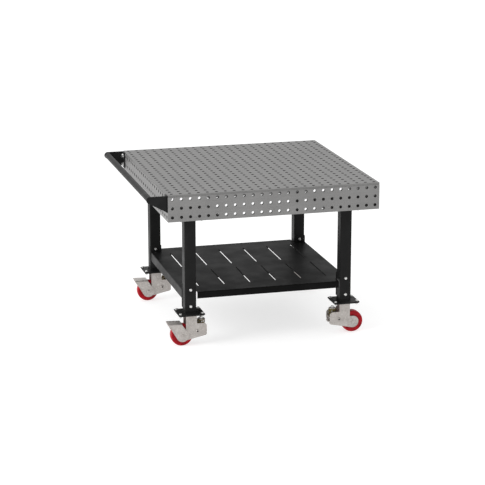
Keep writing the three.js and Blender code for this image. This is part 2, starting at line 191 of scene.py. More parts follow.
def powder_coat(name, depth, gloss):
    made = Looks(name, Metallic=0.0, Specular_IOR_Level=gloss)
    peel = made.noise(650, 2, roughness=0.4)
    dust = made.noise(9, 6)
    made.colours(made.mix(dust, peel, 0.3), [
        (0.36, grey(0.77 * depth)),
        (0.52, grey(depth)),
        (0.66, grey(1.45 * depth)),
    ])
    made.rough(dust, 0.38, 0.52)
    made.bump((peel, 0.06))
    return made.material


def zinc_sheet():
    made = Looks("zinc_plated_sheet", Metallic=0.72)
    bloom = made.noise(26, 6)
    brushed = made.noise(70, 4, stretch=(1, 1, 9))
    spangle = made.cells(160)
    tone = made.mix(made.mix(bloom, brushed, 0.45), spangle, 0.16)
    made.colours(tone, [
        (0.34, (0.325, 0.30, 0.28)),
        (0.52, (0.455, 0.425, 0.402)),
        (0.68, (0.575, 0.545, 0.522)),
    ])
    made.rough(bloom, 0.34, 0.5)
    made.bump((brushed, 0.03))
    return made.material


def bright_zinc():
    made = Looks("bright_zinc_fastener", Metallic=0.95)
    turned = made.noise(240, 3)
    made.colours(turned, [(0.3, (0.50, 0.50, 0.49)), (0.7, (0.74, 0.74, 0.73))])
    made.rough(turned, 0.2, 0.34)
    made.bump((turned, 0.03))
    return made.material


def painted_shade_socket():
    made = Looks("hex_socket_painted_shade", Metallic=0.6)
    # Near-black fill for the hex sockets in the bolt heads: painted shade inside the socket, the noise
    # only varying it a little.
    shade_speckle = made.noise(300, 3)
    made.colours(shade_speckle, [(0.3, grey(0.008)), (0.7, grey(0.02))])
    made.rough(shade_speckle, 0.5, 0.7)
    return made.material


def yellow_chromate():
    made = Looks("yellow_chromate_spring", Metallic=0.75)
    tint = made.noise(34, 5)
    drawn = made.noise(380, 2)
    made.colours(made.mix(tint, drawn, 0.25), [
        (0.35, (0.075, 0.056, 0.017)),
        (0.50, (0.15, 0.117, 0.034)),
        (0.66, (0.235, 0.193, 0.07)),
    ])
    made.rough(tint, 0.3, 0.46)
    made.bump((drawn, 0.03))
    return made.material


def red_polyurethane():
    made = Looks("red_polyurethane", Specular_IOR_Level=0.14, Coat_Weight=0.03, Coat_Roughness=0.3)
    scuff = made.noise(48, 6)
    fine = made.noise(500, 2)
    made.colours(made.mix(scuff, fine, 0.2), [
        (0.34, (0.21, 0.002, 0.006)),
        (0.50, (0.335, 0.003, 0.009)),
        (0.68, (0.42, 0.007, 0.016)),
    ])
    made.rough(scuff, 0.32, 0.5)
    made.bump((fine, 0.04))
    return made.material


def black_nylon():
    made = Looks("black_nylon", Specular_IOR_Level=0.4)
    grain = made.noise(520, 3)
    made.colours(grain, [(0.3, grey(0.012)), (0.7, grey(0.026))])
    made.rough(grain, 0.5, 0.66)
    made.bump((grain, 0.05))
    return made.material


STEEL = steel_plate("blasted_steel_plate", 0.228)
# The top plate is the same steel in a darker copy: painted shade, toning down the extra light its upward
# face takes.
SHADED_TOP_STEEL = steel_plate("blasted_steel_top_painted_shade", 0.184)
# The drilled hole walls get a near-black copy of the steel: painted shade inside the holes.
HOLE_SHADE_STEEL = steel_plate("drilled_hole_wall_painted_shade", 0.02, 0.8, (0.5, 0.65))
WELD = steel_plate("steel_weld_bead", 0.14, 0.8, (0.3, 0.5))
BLACK = powder_coat("black_powder_coat", 0.0115, 0.094)
# The shelf gets a darker, less glossy copy of the black powder coat: painted shade for the shade under
# the table top.
SHADED_SHELF_BLACK = powder_coat("black_powder_coat_shelf_painted_shade", 0.006, 0.034)
ZINC = zinc_sheet()
FASTENER = bright_zinc()
SOCKET_SHADE = painted_shade_socket()
SPRING = yellow_chromate()
TYRE = red_polyurethane()
NYLON = black_nylon()


# -------------------------------------------------------------------------------- flat outlines

def circle(x, y, radius, sides=24):
    turn = 2 * math.pi / sides
    return [(x + radius * math.cos(i * turn), y + radius * math.sin(i * turn)) for i in range(sides)]


def arc(x, y, radius, start, end, step=math.radians(12)):
    count = max(1, math.ceil(abs(end - start) / step))
    angles = [start + (end - start) * i / count for i in range(count + 1)]
    return [(x + radius * math.cos(a), y + radius * math.sin(a)) for a in angles]


def rounded(points):
    """An anticlockwise outline from (x, y, corner radius) points, each corner filleted."""
    made = []
    for i, (x, y, radius) in enumerate(points):
        here = Vector((x, y))
        if not radius:
            made.append((x, y))
            continue
        before = (Vector(points[i - 1][:2]) - here).normalized()
        after = (Vector(points[(i + 1) % len(points)][:2]) - here).normalized()
        half = before.angle(after) / 2
        centre = here + (before + after).normalized() * radius / math.sin(half)
        first = here + before * radius / math.tan(half) - centre
        last = here + after * radius / math.tan(half) - centre
        start = math.atan2(first.y, first.x)
        turn = (math.atan2(last.y, last.x) - start + math.pi) % (2 * math.pi) - math.pi
        made += arc(centre.x, centre.y, radius, start, start + turn, math.radians(15))
    return made


def rectangle(x, y, radius):
    corners = [(x[0], y[0]), (x[1], y[0]), (x[1], y[1]), (x[0], y[1])]
    return rounded([(*corner, radius) for corner in corners])


def belt(circles):
    """The outline round (x, y, radius) circles given anticlockwise, as a belt would lie on them."""
    def tangent(a, b):
        along = math.atan2(b[1] - a[1], b[0] - a[0])
        return along - math.acos((a[2] - b[2]) / math.dist(a[:2], b[:2]))

    made = []
    for i, (x, y, radius) in enumerate(circles):
        start = tangent(circles[i - 1], circles[i])
        end = tangent(circles[i], circles[(i + 1) % len(circles)])
        made += arc(x, y, radius, start, end if end > start else end + 2 * math.pi, math.radians(8))
    return made


def inset(loop, distance):
    """An anticlockwise loop moved inwards; a negative distance moves it outwards."""
    if not distance:
        return loop
    made = []
    for i, point in enumerate(loop):
        here = Vector(point)
        into = (here - Vector(loop[i - 1])).normalized()
        out = (Vector(loop[(i + 1) % len(loop)]) - here).normalized()
        sides = [Vector((-d.y, d.x)) for d in (into, out)]
        share = distance / max(0.2, 1 + sides[0].dot(sides[1]))
        moved = here + (sides[0] + sides[1]) * share
        made.append((moved.x, moved.y))
    return made


# -------------------------------------------------------------------------------- placing things

def along(axis, origin=(0, 0, 0)):
    """Local Z points along `axis`, from `origin`."""
    turn = Vector((0, 0, 1)).rotation_difference(Vector(axis))
    return Matrix.Translation(origin) @ turn.to_matrix().to_4x4()


def upright_xz(y=0.0):
    """Outlines drawn in x, z stand in the X-Z plane; local height runs along +Y from `y`."""
    return Matrix(((1, 0, 0, 0), (0, 0, 1, y), (0, 1, 0, 0), (0, 0, 0, 1)))


def upright_yz(x=0.0):
    """Outlines drawn in y, z stand in the Y-Z plane; local height runs along +X from `x`."""
    return Matrix(((0, 0, 1, x), (1, 0, 0, 0), (0, 1, 0, 0), (0, 0, 0, 1)))


# ------------------------------------------------------------------------------ building meshes

class Piece:
    """One visible piece under construction, in millimetres."""

    def __init__(self, *materials, place=None):
        self.bm = bmesh.new()
        self.materials = materials
        self.place = place or Matrix.Identity(4)

    def rings(self, rings, look=0, caps=True):
        """Skins a row of equally long closed loops of points."""
        made = [[self.bm.verts.new(self.place @ Vector(p)) for p in ring] for ring in rings]
        for a, b in zip(made, made[1:]):
            for i in range(len(a)):
                j = (i + 1) % len(a)
                self.bm.faces.new((a[i], a[j], b[j], b[i])).material_index = look
        if caps:
            self.bm.faces.new(made[0][::-1]).material_index = look
            self.bm.faces.new(made[-1]).material_index = look

    def fill(self, loops, height, matrix, flip, look=0, verts=None):
        """Triangulates a flat face between an outline, loops[0], and the convex holes in it."""
        points, edges, owner = [], [], []
        for number, loop in enumerate(loops):
            first = len(points)
            points += [Vector(p) for p in loop]
            owner += [number] * len(loop)
            edges += [(first + i, first + (i + 1) % len(loop)) for i in range(len(loop))]
        if verts is None:
            verts = [self.bm.verts.new(self.place @ matrix @ Vector((*p, height))) for p in points]
        _, _, triangles, sources, _, _ = delaunay_2d_cdt(points, edges, [], 1, 1e-6)
        for triangle in triangles:
            corners = [sources[k][0] for k in triangle]
            owners = {owner[k] for k in corners}
            if len(owners) == 1 and owners != {0}:
                continue
            face = [verts[k] for k in corners]
            self.bm.faces.new(face[::-1] if flip else face).material_index = look

    def slab(self, outline, z, holes=(), edge=0.6, hole_edge=0.6, matrix=None, look=0, hole_look=0):
        """A flat plate with chamfered edges, drawn in local x, y and standing from z[0] to z[1]."""
        matrix = matrix or Matrix.Identity(4)
        ends = ([], [])
        for number, loop in enumerate([outline, *holes]):
            sign, cut, shade = (1, edge, look) if number == 0 else (-1, hole_edge, hole_look)
            rings = []
            for height, pulled in ((z[0], cut), (z[0] + cut, 0), (z[1] - cut, 0), (z[1], cut)):
                spots = [matrix @ Vector((*p, height)) for p in inset(loop, sign * pulled)]
                rings.append([self.bm.verts.new(self.place @ spot) for spot in spots])
            for a, b in zip(rings, rings[1:]):
                for i in range(len(a)):
                    j = (i + 1) % len(a)
                    quad = (a[i], a[j], b[j], b[i])
                    self.bm.faces.new(quad if sign > 0 else quad[::-1]).material_index = shade
            ends[0].extend(rings[0])
            ends[1].extend(rings[-1])
        faces = [inset(outline, edge), *[inset(hole, -hole_edge) for hole in holes]]
        self.fill(faces, z[0], matrix, True, look, ends[0])
        self.fill(faces, z[1], matrix, False, look, ends[1])

    def lathe(self, profile, matrix=None, sides=32, look=0):
        """A closed outline of (radius, height) points turned about local Z."""
        matrix = matrix or Matrix.Identity(4)
        rings = []
        for i in range(sides):
            a = 2 * math.pi * i / sides
            rings.append([matrix @ Vector((r * math.cos(a), r * math.sin(a), h)) for r, h in profile])
        self.rings([*rings, rings[0]], look, caps=False)

    def disc(self, radius, z, matrix=None, edge=0.5, sides=32, look=0, bore=0.0):
        holes = [circle(0, 0, bore, sides)] if bore else []
        self.slab(circle(0, 0, radius, sides), z, holes, edge, min(edge, 0.4), matrix, look, look)

    def hexagon(self, flats, z, matrix, look=0):
        """Bolt head or nut: six sides, the outer face turned down to a circle."""
        corner = flats / math.sqrt(3)
        outline = []
        for i in range(6):
            turns = (i * math.pi / 3, (i + 1) * math.pi / 3)
            a, b = (Vector((math.cos(t), math.sin(t))) * corner for t in turns)
            outline += [a.lerp(b, k / 4) for k in range(4)]
        turned = [p.normalized() * (flats * 0.47) for p in outline]
        middle = [p.normalized() * (flats * 0.2) for p in outline]
        loops = [(outline, z[0]), (outline, z[1] - 0.9), (turned, z[1]), (middle, z[1])]
        self.rings([[matrix @ Vector((*p, height)) for p in loop] for loop, height in loops], look)

    def thread(self, radius, z, matrix, pitch=1.5):
        """Stud with cut thread rings and a chamfered end."""
        profile = [(radius * 0.86, z[0])]
        height = z[0]
        while height + pitch < z[1] - 1:
            profile += [(radius, height + pitch * 0.5), (radius * 0.88, height + pitch)]
            height += pitch
        profile += [(radius * 0.95, z[1] - 1), (radius * 0.7, z[1])]
        rings = []
        for r, h in profile:
            rings.append([matrix @ Vector((*p, h)) for p in circle(0, 0, r, 20)])
        self.rings(rings)

    def bolt_head(self, matrix, flats, washer, height):
        """A washer of radius `washer` under a hexagon head, standing on the local X-Y plane."""
        self.disc(washer, (0, 2), matrix, 0.4, 28)
        self.hexagon(flats, (1.9, 2 + height), matrix)

    def nut_end(self, matrix, flats, washer, height, stud, reach):
        """Washer, nut, and the bolt's own threaded end, which stands out to `reach`."""
        self.bolt_head(matrix, flats, washer, height)
        self.thread(stud, (1 + height, reach), matrix)

    def bead(self, path, matrix=None, radius=3.0, closed=True):
        """Rippled weld bead along a flat path, three rings to each ripple of about 3.6 mm."""
        matrix = matrix or Matrix.Identity(4)
        stops = [*path, path[0]] if closed else list(path)
        lengths = [math.dist(a, b) for a, b in zip(stops, stops[1:])]
        count = max(2, round(sum(lengths) / 3.6)) * 3
        rings = []
        for step in range(count + (0 if closed else 1)):
            left, i = sum(lengths) * step / count, 0
            while i < len(lengths) - 1 and left > lengths[i]:
                left -= lengths[i]
                i += 1
            a, b = Vector(stops[i]), Vector(stops[i + 1])
            spot = a.lerp(b, left / max(lengths[i], 1e-9))
            side = Vector((b.y - a.y, a.x - b.x)).normalized()
            swell = radius * (0.86 + 0.14 * math.sin(2 * math.pi * step / 3 + 0.5))
            if not closed and step in (0, count):
                swell *= 0.45
            ring = []
            for k in range(8):
                t = 2 * math.pi * k / 8
                flat = spot + side * swell * math.cos(t)
                ring.append(matrix @ Vector((flat.x, flat.y, swell * math.sin(t))))
            rings.append(ring)
        if closed:
            rings.append(rings[0])
        self.rings(rings, caps=not closed)

    def fold(self, start, end, pivot, axis, angle):
        """A bend's strip of faces, from the edge start-end round the line through pivot."""
        to_pivot, back = Matrix.Translation(pivot), Matrix.Translation(-Vector(pivot))
        turns = [to_pivot @ Matrix.Rotation(angle * i / 6, 4, axis) @ back for i in range(7)]
        for a, b in zip(turns, turns[1:]):
            quad = [a @ Vector(start), a @ Vector(end), b @ Vector(end), b @ Vector(start)]
            self.bm.faces.new([self.bm.verts.new(self.place @ p) for p in quad])

    def finish(self, name, body, replaced, smooth=32, sheet=0.0, edge=0.4):
        """Makes the object: `sheet` gives folded faces their thickness, inwards."""
        bmesh.ops.remove_doubles(self.bm, verts=self.bm.verts, dist=0.01 if sheet else 1e-5)
        bmesh.ops.recalc_face_normals(self.bm, faces=self.bm.faces)
        mesh = bpy.data.meshes.new(name)
        self.bm.to_mesh(mesh)
        self.bm.free()
        mesh.transform(TO_FRAME)
        for material in self.materials:
            mesh.materials.append(material)
        mesh.shade_smooth()
        mesh.set_sharp_from_angle(angle=math.radians(smooth))
        made = bpy.data.objects.new(name, mesh)
        bpy.context.scene.collection.objects.link(made)
        if sheet:
            thick = made.modifiers.new("sheet", "SOLIDIFY")
            thick.thickness = sheet * 0.001
            thick.offset = -1
            thick.use_even_offset = True
            edges = made.modifiers.new("edges", "BEVEL")
            edges.width = edge * 0.001
            edges.segments = 2
            edges.limit_method = "ANGLE"
            edges.angle_limit = math.radians(50)
        fair = made.modifiers.new("fair", "WEIGHTED_NORMAL")
        fair.keep_sharp = True
        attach(made, body)
        if replaced:
            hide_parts(*replaced)
        return made


# --------------------------------------------------------------------------- top, skirts, frame

def make_top():
    piece = Piece(SHADED_TOP_STEEL, HOLE_SHADE_STEEL)
    holes = [circle(x, y, HOLE_RADIUS) for x in GRID for y in GRID]
    outline = rectangle((-HALF, HALF), (-HALF, HALF), 2.5)
    # The hole walls take the second material, which is painted shade.
    piece.slab(outline, (HEIGHT - PLATE, HEIGHT), holes, 0.8, 0.8, hole_look=1)
    piece.finish("top_plate_drilled", "root", ["top_plate"])


def make_skirt(name, matrix, half):
    piece = Piece(STEEL, HOLE_SHADE_STEEL)
    rows = [HEIGHT - (i + 0.5) * PITCH for i in range(3)]
    holes = [circle(x, z, HOLE_RADIUS) for x in GRID for z in rows]
    outline = rectangle((-half, half), (SKIRT_LOW, SKIRT_HIGH), 1.5)
    piece.slab(outline, (0, PLATE), holes, 0.5, 0.7, matrix, hole_look=1)
    piece.finish(f"skirt_{name}_drilled", "root", [f"skirt_{name}"])


def make_stiffeners():
    """The CAD ribs and corner plates stay, with eased edges, and get weld beads."""
    names = [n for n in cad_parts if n.startswith(("rib_", "corner_plate_"))]
    for name in names:
        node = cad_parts[name]
        node.data.materials.clear()
        node.data.materials.append(STEEL)
        ease = node.modifiers.new("edges", "BEVEL")
        ease.width = 0.0008
        ease.segments = 2
    beads = Piece(WELD)
    rib_line, outer = 300, HALF - PLATE
    flat = Matrix.Translation((0, 0, HEIGHT - PLATE))
    for side in (-1, 1):
        for place in (-250, -125, 0, 125, 250):
            for face in (-6, 6):
                line = side * rib_line + face
                beads.bead([(place - 25, line), (place + 25, line)], flat, 3, closed=False)
                beads.bead([(line, place - 25), (line, place + 25)], flat, 3, closed=False)
        for place in range(-540, 541, 180):
            edge = side * outer
            beads.bead([(place - 22, edge), (place + 22, edge)], flat, 3, closed=False)
            beads.bead([(edge, place - 22), (edge, place + 22)], flat, 3, closed=False)
    flat = Matrix.Translation((0, 0, SKIRT_LOW + 8))
    for sx, sy in CORNERS.values():
        x, y = sx * outer, sy * outer
        for start in (330, 430, 530):
            end = start + 40
            beads.bead([(sx * start, y), (sx * end, y)], flat, 3, closed=False)
            beads.bead([(x, sy * start), (x, sy * end)], flat, 3, closed=False)
        beads.bead([(x, SKIRT_LOW + 12), (x, SKIRT_HIGH - 4)], upright_xz(y), 3, closed=False)
    beads.finish("frame_weld_beads", "root", [])


# ------------------------------------------------------------------------------------- the legs

def make_leg(name, sx, sy):
    centre = Matrix.Translation((sx * LEG, sy * LEG, 0))
    piece = Piece(BLACK, place=centre)
    inner = LEG_HALF - 3
    tube = rectangle((-LEG_HALF, LEG_HALF), (-LEG_HALF, LEG_HALF), 6)
    bore = rectangle((-inner, inner), (-inner, inner), 3)
    piece.slab(tube, (FOOT_HIGH - 0.5, HEAD_HIGH - 1), [bore], 0.2, 0.2)
    head_holes = [bore, *[circle(x, y, 5.5) for x, y in HEAD_BOLTS]]
    piece.slab(rectangle((-75, 75), (-75, 75), 8), (HEAD_LOW, HEAD_HIGH), head_holes, 0.8, 0.5)
    piece.slab(rectangle((-75, 75), (-70, 70), 8), (FOOT_LOW, FOOT_HIGH), edge=0.8)
    piece.bead(tube, Matrix.Translation((0, 0, FOOT_HIGH + 0.3)), 3.2)
    piece.bead(tube, Matrix.Translation((0, 0, HEAD_LOW - 0.3)), 3.2)
    piece.finish(f"leg_{name}_tube", "root", [f"leg_{name}"])

    bolts = Piece(FASTENER, place=centre)
    for x, y in FOOT_BOLTS:
        bolts.bolt_head(along((0, 0, 1), (x, y, FOOT_HIGH)), 13, 9, 5.5)
        bolts.nut_end(along((0, 0, -1), (x, y, MOUNT_LOW)), 13, 9, 6.5, 4, 11)
    for x, y in HEAD_BOLTS:
        bolts.nut_end(along((0, 0, -1), (x, y, HEAD_LOW)), 17, 11, 8, 5, 17)
        bolts.bolt_head(along((0, 0, 1), (x, y, HEAD_HIGH + 8)), 17, 11, 6.5)
    outer = Vector((0, sy, 0))
    for z in RAIL_BOLTS_Z:
        bolts.bolt_head(along(outer, (0, sy * LEG_HALF, z)), 13, 8, 5.5)
        bolts.nut_end(along(-outer, (0, -sy * (LEG_HALF + 5), z)), 13, 8, 6.5, 4, 12)
    bolts.finish(f"leg_{name}_bolts", "root", [])


# ------------------------------------------------------------------------------ shelf and rails

def make_shelf():
    """Slotted sheet, notched at the legs; its front and rear edges turn down and back under."""
    edge, notch, bend, lip, flange = SHELF_EDGE, 411, 6, 39, 27
    slot, reach = 3.25, 151.75
    # The shelf sheet takes the darker copy of the powder coat, which is painted shade.
    piece = Piece(SHADED_SHELF_BLACK)
    fold = edge - bend
    right = [(edge, notch), (notch, notch), (notch, fold)]
    rear = [*right, *[(-x, y) for x, y in reversed(right)]]
    outline = [*rear, *[(-x, -y) for x, y in rear]]
    slots = []
    for column in range(6):
        x = (column - 2.5) * 150
        for y in (-202.5, 202.5):
            far = arc(x, y + reach, slot, 0, math.pi)
            near = arc(x, y - reach, slot, math.pi, 2 * math.pi)
            slots.append([*far, *near])
    piece.fill([outline, *slots], SHELF_TOP, Matrix.Identity(4), False)
    for side in (-1, 1):
        y = side * fold
        high, low = SHELF_TOP - bend, SHELF_TOP - lip
        start, end = (-notch, y, SHELF_TOP), (notch, y, SHELF_TOP)
        piece.fold(start, end, (0, y, high), "X", -side * math.pi / 2)
        front = [(-notch, high), (-notch, low + bend), (notch, low + bend), (notch, high)]
        piece.fill([front], side * edge, upright_xz(), side > 0)
        start, end = (-notch, side * edge, low + bend), (notch, side * edge, low + bend)
        piece.fold(start, end, (0, y, low + bend), "X", -side * math.pi / 2)
        back = side * (edge - flange)
        under = [(-notch, y), (-notch + flange - bend, back), (notch - flange + bend, back), (notch, y)]
        piece.fill([under], low, Matrix.Identity(4), side > 0)
    piece.finish("shelf_panel_folded", "root", ["shelf_panel"], sheet=SHELF_SHEET, edge=0.5)


def make_rail(name, side):
    piece = Piece(BLACK)
    top, low, wall = SHELF_TOP - SHELF_SHEET, RAIL_LOW, 4
    outer, lip = SHELF_EDGE, RAIL_INNER
    section = [
        (outer, low, 6), (outer, top, 6), (lip, top, 0.8), (lip, top - wall, 0.8),
        (outer - wall, top - wall, 2), (outer - wall, low + wall, 2),
        (lip, low + wall, 0.8), (lip, low, 0.8),
    ]
    turned = [(side * x, z) for x, z in rounded(section)]
    if side < 0:
        turned.reverse()
    piece.slab(turned, (1 - RAIL_END, RAIL_END - 1), edge=0.2, matrix=upright_xz())
    middle = (top + low) / 2
    shape = rectangle((side * LEG - 35, side * LEG + 35), (middle - 70, middle + 70), 6)
    bolts = [circle(side * LEG, z, 5.5) for z in RAIL_BOLTS_Z]
    for y in ((-RAIL_END, 5 - RAIL_END), (RAIL_END - 5, RAIL_END)):
        piece.slab(shape, y, bolts, 0.6, 0.5, upright_xz())
    back = [(side * (outer + 0.5), low + 4), (side * (outer + 0.5), top - 4)]
    under = [(side * (lip + 3), low - 0.5), (side * (outer - 4), low - 0.5)]
    for y in (5 - RAIL_END, RAIL_END - 5):
        for seam in (back, under):
            piece.bead(seam, upright_xz(y), 2.8, False)
    piece.finish(f"shelf_rail_{name}_channel", "root", [f"shelf_rail_{name}"])


def make_beam():
    """Square tube under the middle of the shelf, welded between the rails."""
    piece = Piece(BLACK)
    top, low = SHELF_TOP - SHELF_SHEET, SHELF_TOP - SHELF_SHEET - 60
    tube = rectangle((-20, 20), (low, top), 5)
    bore = rectangle((-17, 17), (low + 3, top - 3), 2.5)
    piece.slab(tube, (-RAIL_INNER, RAIL_INNER), [bore], 0.3, 0.3, upright_yz())
    for side in (-1, 1):
        end = upright_yz(side * (RAIL_INNER - 0.5))
        piece.bead([(-16, RAIL_LOW), (16, RAIL_LOW)], end, 2.4, False)
    for y in (-20, 20):
        for x in (-300, 0, 300):
            piece.bead([(x - 20, y), (x + 20, y)], Matrix.Translation((0, 0, top - 0.5)), 2.6, False)
    piece.finish("shelf_beam_middle_tube", "root", ["shelf_beam_middle"])


# -------------------------------------------------------------------------------------- handle

def make_handle():
    piece = Piece(BLACK)
    tube = circle(HANDLE_X, HANDLE_Z, HANDLE_RADIUS, 48)
    bore = circle(HANDLE_X, HANDLE_Z, HANDLE_RADIUS - 2.5, 48)
    piece.slab(tube, (-HALF + 5.5, HALF - 5.5), [bore], 0.2, 0.2, upright_xz())
    low = HEIGHT - 92
    foot = (-HALF - 8, low)
    reach = math.dist(foot, (HANDLE_X, HANDLE_Z))
    lean = math.atan2(low - HANDLE_Z, foot[0] - HANDLE_X) - math.acos(19 / reach)
    outline = [
        (-HALF - 0.3, HEIGHT - 3),
        *arc(HANDLE_X, HANDLE_Z, 19, math.pi / 2, lean + 2 * math.pi, math.radians(8)),
        foot,
        (-HALF - 0.3, low),
    ]
    for side in (-1, 1):
        face = (-HALF, -HALF + 6) if side < 0 else (HALF - 6, HALF)
        piece.slab(outline, face, edge=0.8, matrix=upright_xz())
        span = sorted((side * HALF, side * (HALF - 50)))
        flange = rectangle(span, (HEIGHT - 97, HEIGHT - 3), 5)
        holes = [circle(side * GRID[-1], z, 6.5) for z in (HEIGHT - 25, HEIGHT - 75)]
        piece.slab(flange, (-HALF - 6, -HALF - 0.2), holes, 0.8, 0.5, upright_yz())
        ring = circle(HANDLE_X, HANDLE_Z, HANDLE_RADIUS + 0.4, 40)
        piece.bead(ring, upright_xz(side * (HALF - 6.3)), 2.6)
        seam = upright_yz(-HALF - 6.2)
        inner = side * (HALF - 6.2)
        piece.bead([(inner, low + 8), (inner, HEIGHT - 8)], seam, 2.6, False)
    piece.finish("push_handle_tube", "root", ["push_handle"])

    bolts = Piece(FASTENER)
    for side in (-1, 1):
        for z in (HEIGHT - 25, HEIGHT - 75):
            bolts.bolt_head(along((-1, 0, 0), (-HALF - 6, side * GRID[-1], z)), 19, 12.5, 7.5)
            bolts.nut_end(along((1, 0, 0), (-HALF + PLATE, side * GRID[-1], z)), 19, 12, 9, 6, 17)
    bolts.finish("push_handle_bolts", "root", [])


# -------------------------------------------------------------------------------------- casters

def make_mount_plate(c, place):
    piece = Piece(BLACK, place=place)
    holes = [circle(x, y, 5) for x, y in FOOT_BOLTS]
    piece.slab(rectangle((-72, 72), (-66, 66), 8), (MOUNT_LOW, FOOT_LOW), holes, 0.6, 0.4)
    piece.finish(f"{c}_top_plate", "root", [])

    race = Piece(ZINC, FASTENER, place=place)
    low, high = YOKE_TOP + 3.1, MOUNT_LOW - 0.1
    race.lathe([(10, low), (30, low), (32, low + 0.6), (32, high), (10, high)], sides=48)
    race.lathe([(3, YOKE_TOP - 15), (7.9, YOKE_TOP - 15), (7.9, high), (3, high)], sides=32, look=1)
    race.hexagon(22, (6.6 - YOKE_TOP, 15.5 - YOKE_TOP), along((0, 0, -1)), 1)
    race.finish(f"{c}_bearing_race", "root", [f"{c}_mount_plate"])


def make_yoke(c, body, place):
    front, back, top, low, bend = -28, 34, YOKE_TOP, 74, 5
    side = rounded([
        (front, top - bend, 0), (front, 90, 7), (-16, low, 7), (91, low, 8),
        (91, 128, 18), (back, 128, 6), (back, top - bend, 0),
    ])
    pivot = circle(PIVOT_X, PIVOT_Z, PIN_BORE, 28)
    piece = Piece(ZINC, FASTENER, place=place)
    for y in (-35, 35):
        piece.fill([side, pivot], y, upright_xz(), y > 0)
        turn = math.copysign(math.pi / 2, y)
        inner = math.copysign(35 - bend, y)
        piece.fold((front, y, top - bend), (back, y, top - bend), (0, inner, top - bend), "X", turn)
    web = [(front, bend - 35), (back, bend - 35), (back, 35 - bend), (front, 35 - bend)]
    piece.fill([web, circle(0, 0, 9.5, 32)], top, Matrix.Identity(4), False)
    piece.finish(f"{c}_yoke_sheet", body, [f"{c}_yoke"], sheet=4, edge=0.5)

    seat = Piece(ZINC, place=place)
    seat.slab(rectangle((57, 88), (-31, 31), 2), (91, 95), [circle(SPRING_X, 0, 6.4)], 0.5, 0.5)
    for y in (-31, 31):
        seat.bead([(60, y), (85, y)], Matrix.Translation((0, 0, 90.7)), 2.4, False)
    race = [(9.5, top - 1), (28, top - 1), (28, top + 1.6), (26, top + 2.6), (9.5, top + 2.6)]
    seat.lathe(race, sides=48)
    seat.finish(f"{c}_yoke_spring_seat", body, [])


def make_arm(c, body, place):
    outline = belt([(WHEEL_X, AXLE_Z, 34), (80, 67.5, 12.5), (PIVOT_X, PIVOT_Z, 13)])
    holes = [circle(x, z, PIN_BORE, 28) for x, z in ((WHEEL_X, AXLE_Z), (PIVOT_X, PIVOT_Z))]
    piece = Piece(ZINC, FASTENER, place=place)
    for y in ((-30, -26), (26, 30)):
        piece.slab(outline, y, holes, 0.6, 0.4, upright_xz())
    quarter = math.pi / 2
    front = arc(SPRING_X + 3.5, 0, 6.5, -quarter, quarter)
    slot = [*front, *arc(SPRING_X, 0, 6.5, quarter, 3 * quarter)]
    piece.slab(rectangle((54, 82), (-26.3, 26.3), 2), (60, 64), [slot], 0.5, 0.4)
    for y in (-26, 26):
        piece.bead([(56, y), (80, y)], Matrix.Translation((0, 0, 64)), 2.2, False)
    sleeve = along((0, 1, 0), (PIVOT_X, 0, PIVOT_Z))
    piece.lathe([(6.7, -25.8), (9.5, -25.8), (9.5, 25.8), (6.7, 25.8)], sleeve, 32, 1)
    piece.finish(f"{c}_arm_sheets", body, [f"{c}_arm"])


def make_pins(c, swivel, arm, place, braked):
    """Pivot bolt with domed socket heads, and the axle with its head and lock nut."""
    pivot = Piece(ZINC, SOCKET_SHADE, place=place)
    for side in (-1, 1):
        head = along((0, side, 0), (PIVOT_X, side * 35.1, PIVOT_Z))
        dome = [(4.6, 0), (10.2, 0), (10.2, 1.4), (9.4, 3), (7.6, 4.2), (5.4, 4.6), (4.6, 4.6)]
        pivot.lathe(dome, head, 36)
        # The socket's inner faces take the second material, which is painted shade.
        pivot.lathe([(0.4, 0.3), (4.7, 0.3), (4.7, 2.8), (0.4, 1.4)], head, 24, 1)
    shaft = along((0, 1, 0), (PIVOT_X, 0, PIVOT_Z))
    pivot.lathe([(0.5, -35.2), (PIN_RADIUS, -35.2), (PIN_RADIUS, 35.2), (0.5, 35.2)], shaft, 28)
    pivot.finish(f"{c}_pivot_bolt_domed", swivel, [f"{c}_pivot_bolt"])

    reach = 39.2 if braked else 30.2
    axle = Piece(ZINC, place=place)
    axle.bolt_head(along((0, -1, 0), (WHEEL_X, -reach, AXLE_Z)), 15, 9.5, 4)
    axle.nut_end(along((0, 1, 0), (WHEEL_X, reach, AXLE_Z)), 15, 9.5, 4.4, 5, 6.6)
    shaft = along((0, 1, 0), (WHEEL_X, 0, AXLE_Z))
    rod = [(0.5, -reach), (PIN_RADIUS, -reach), (PIN_RADIUS, reach), (0.5, reach)]
    axle.lathe(rod, shaft, 28)
    axle.finish(f"{c}_axle_bolt", arm, [f"{c}_axle"])


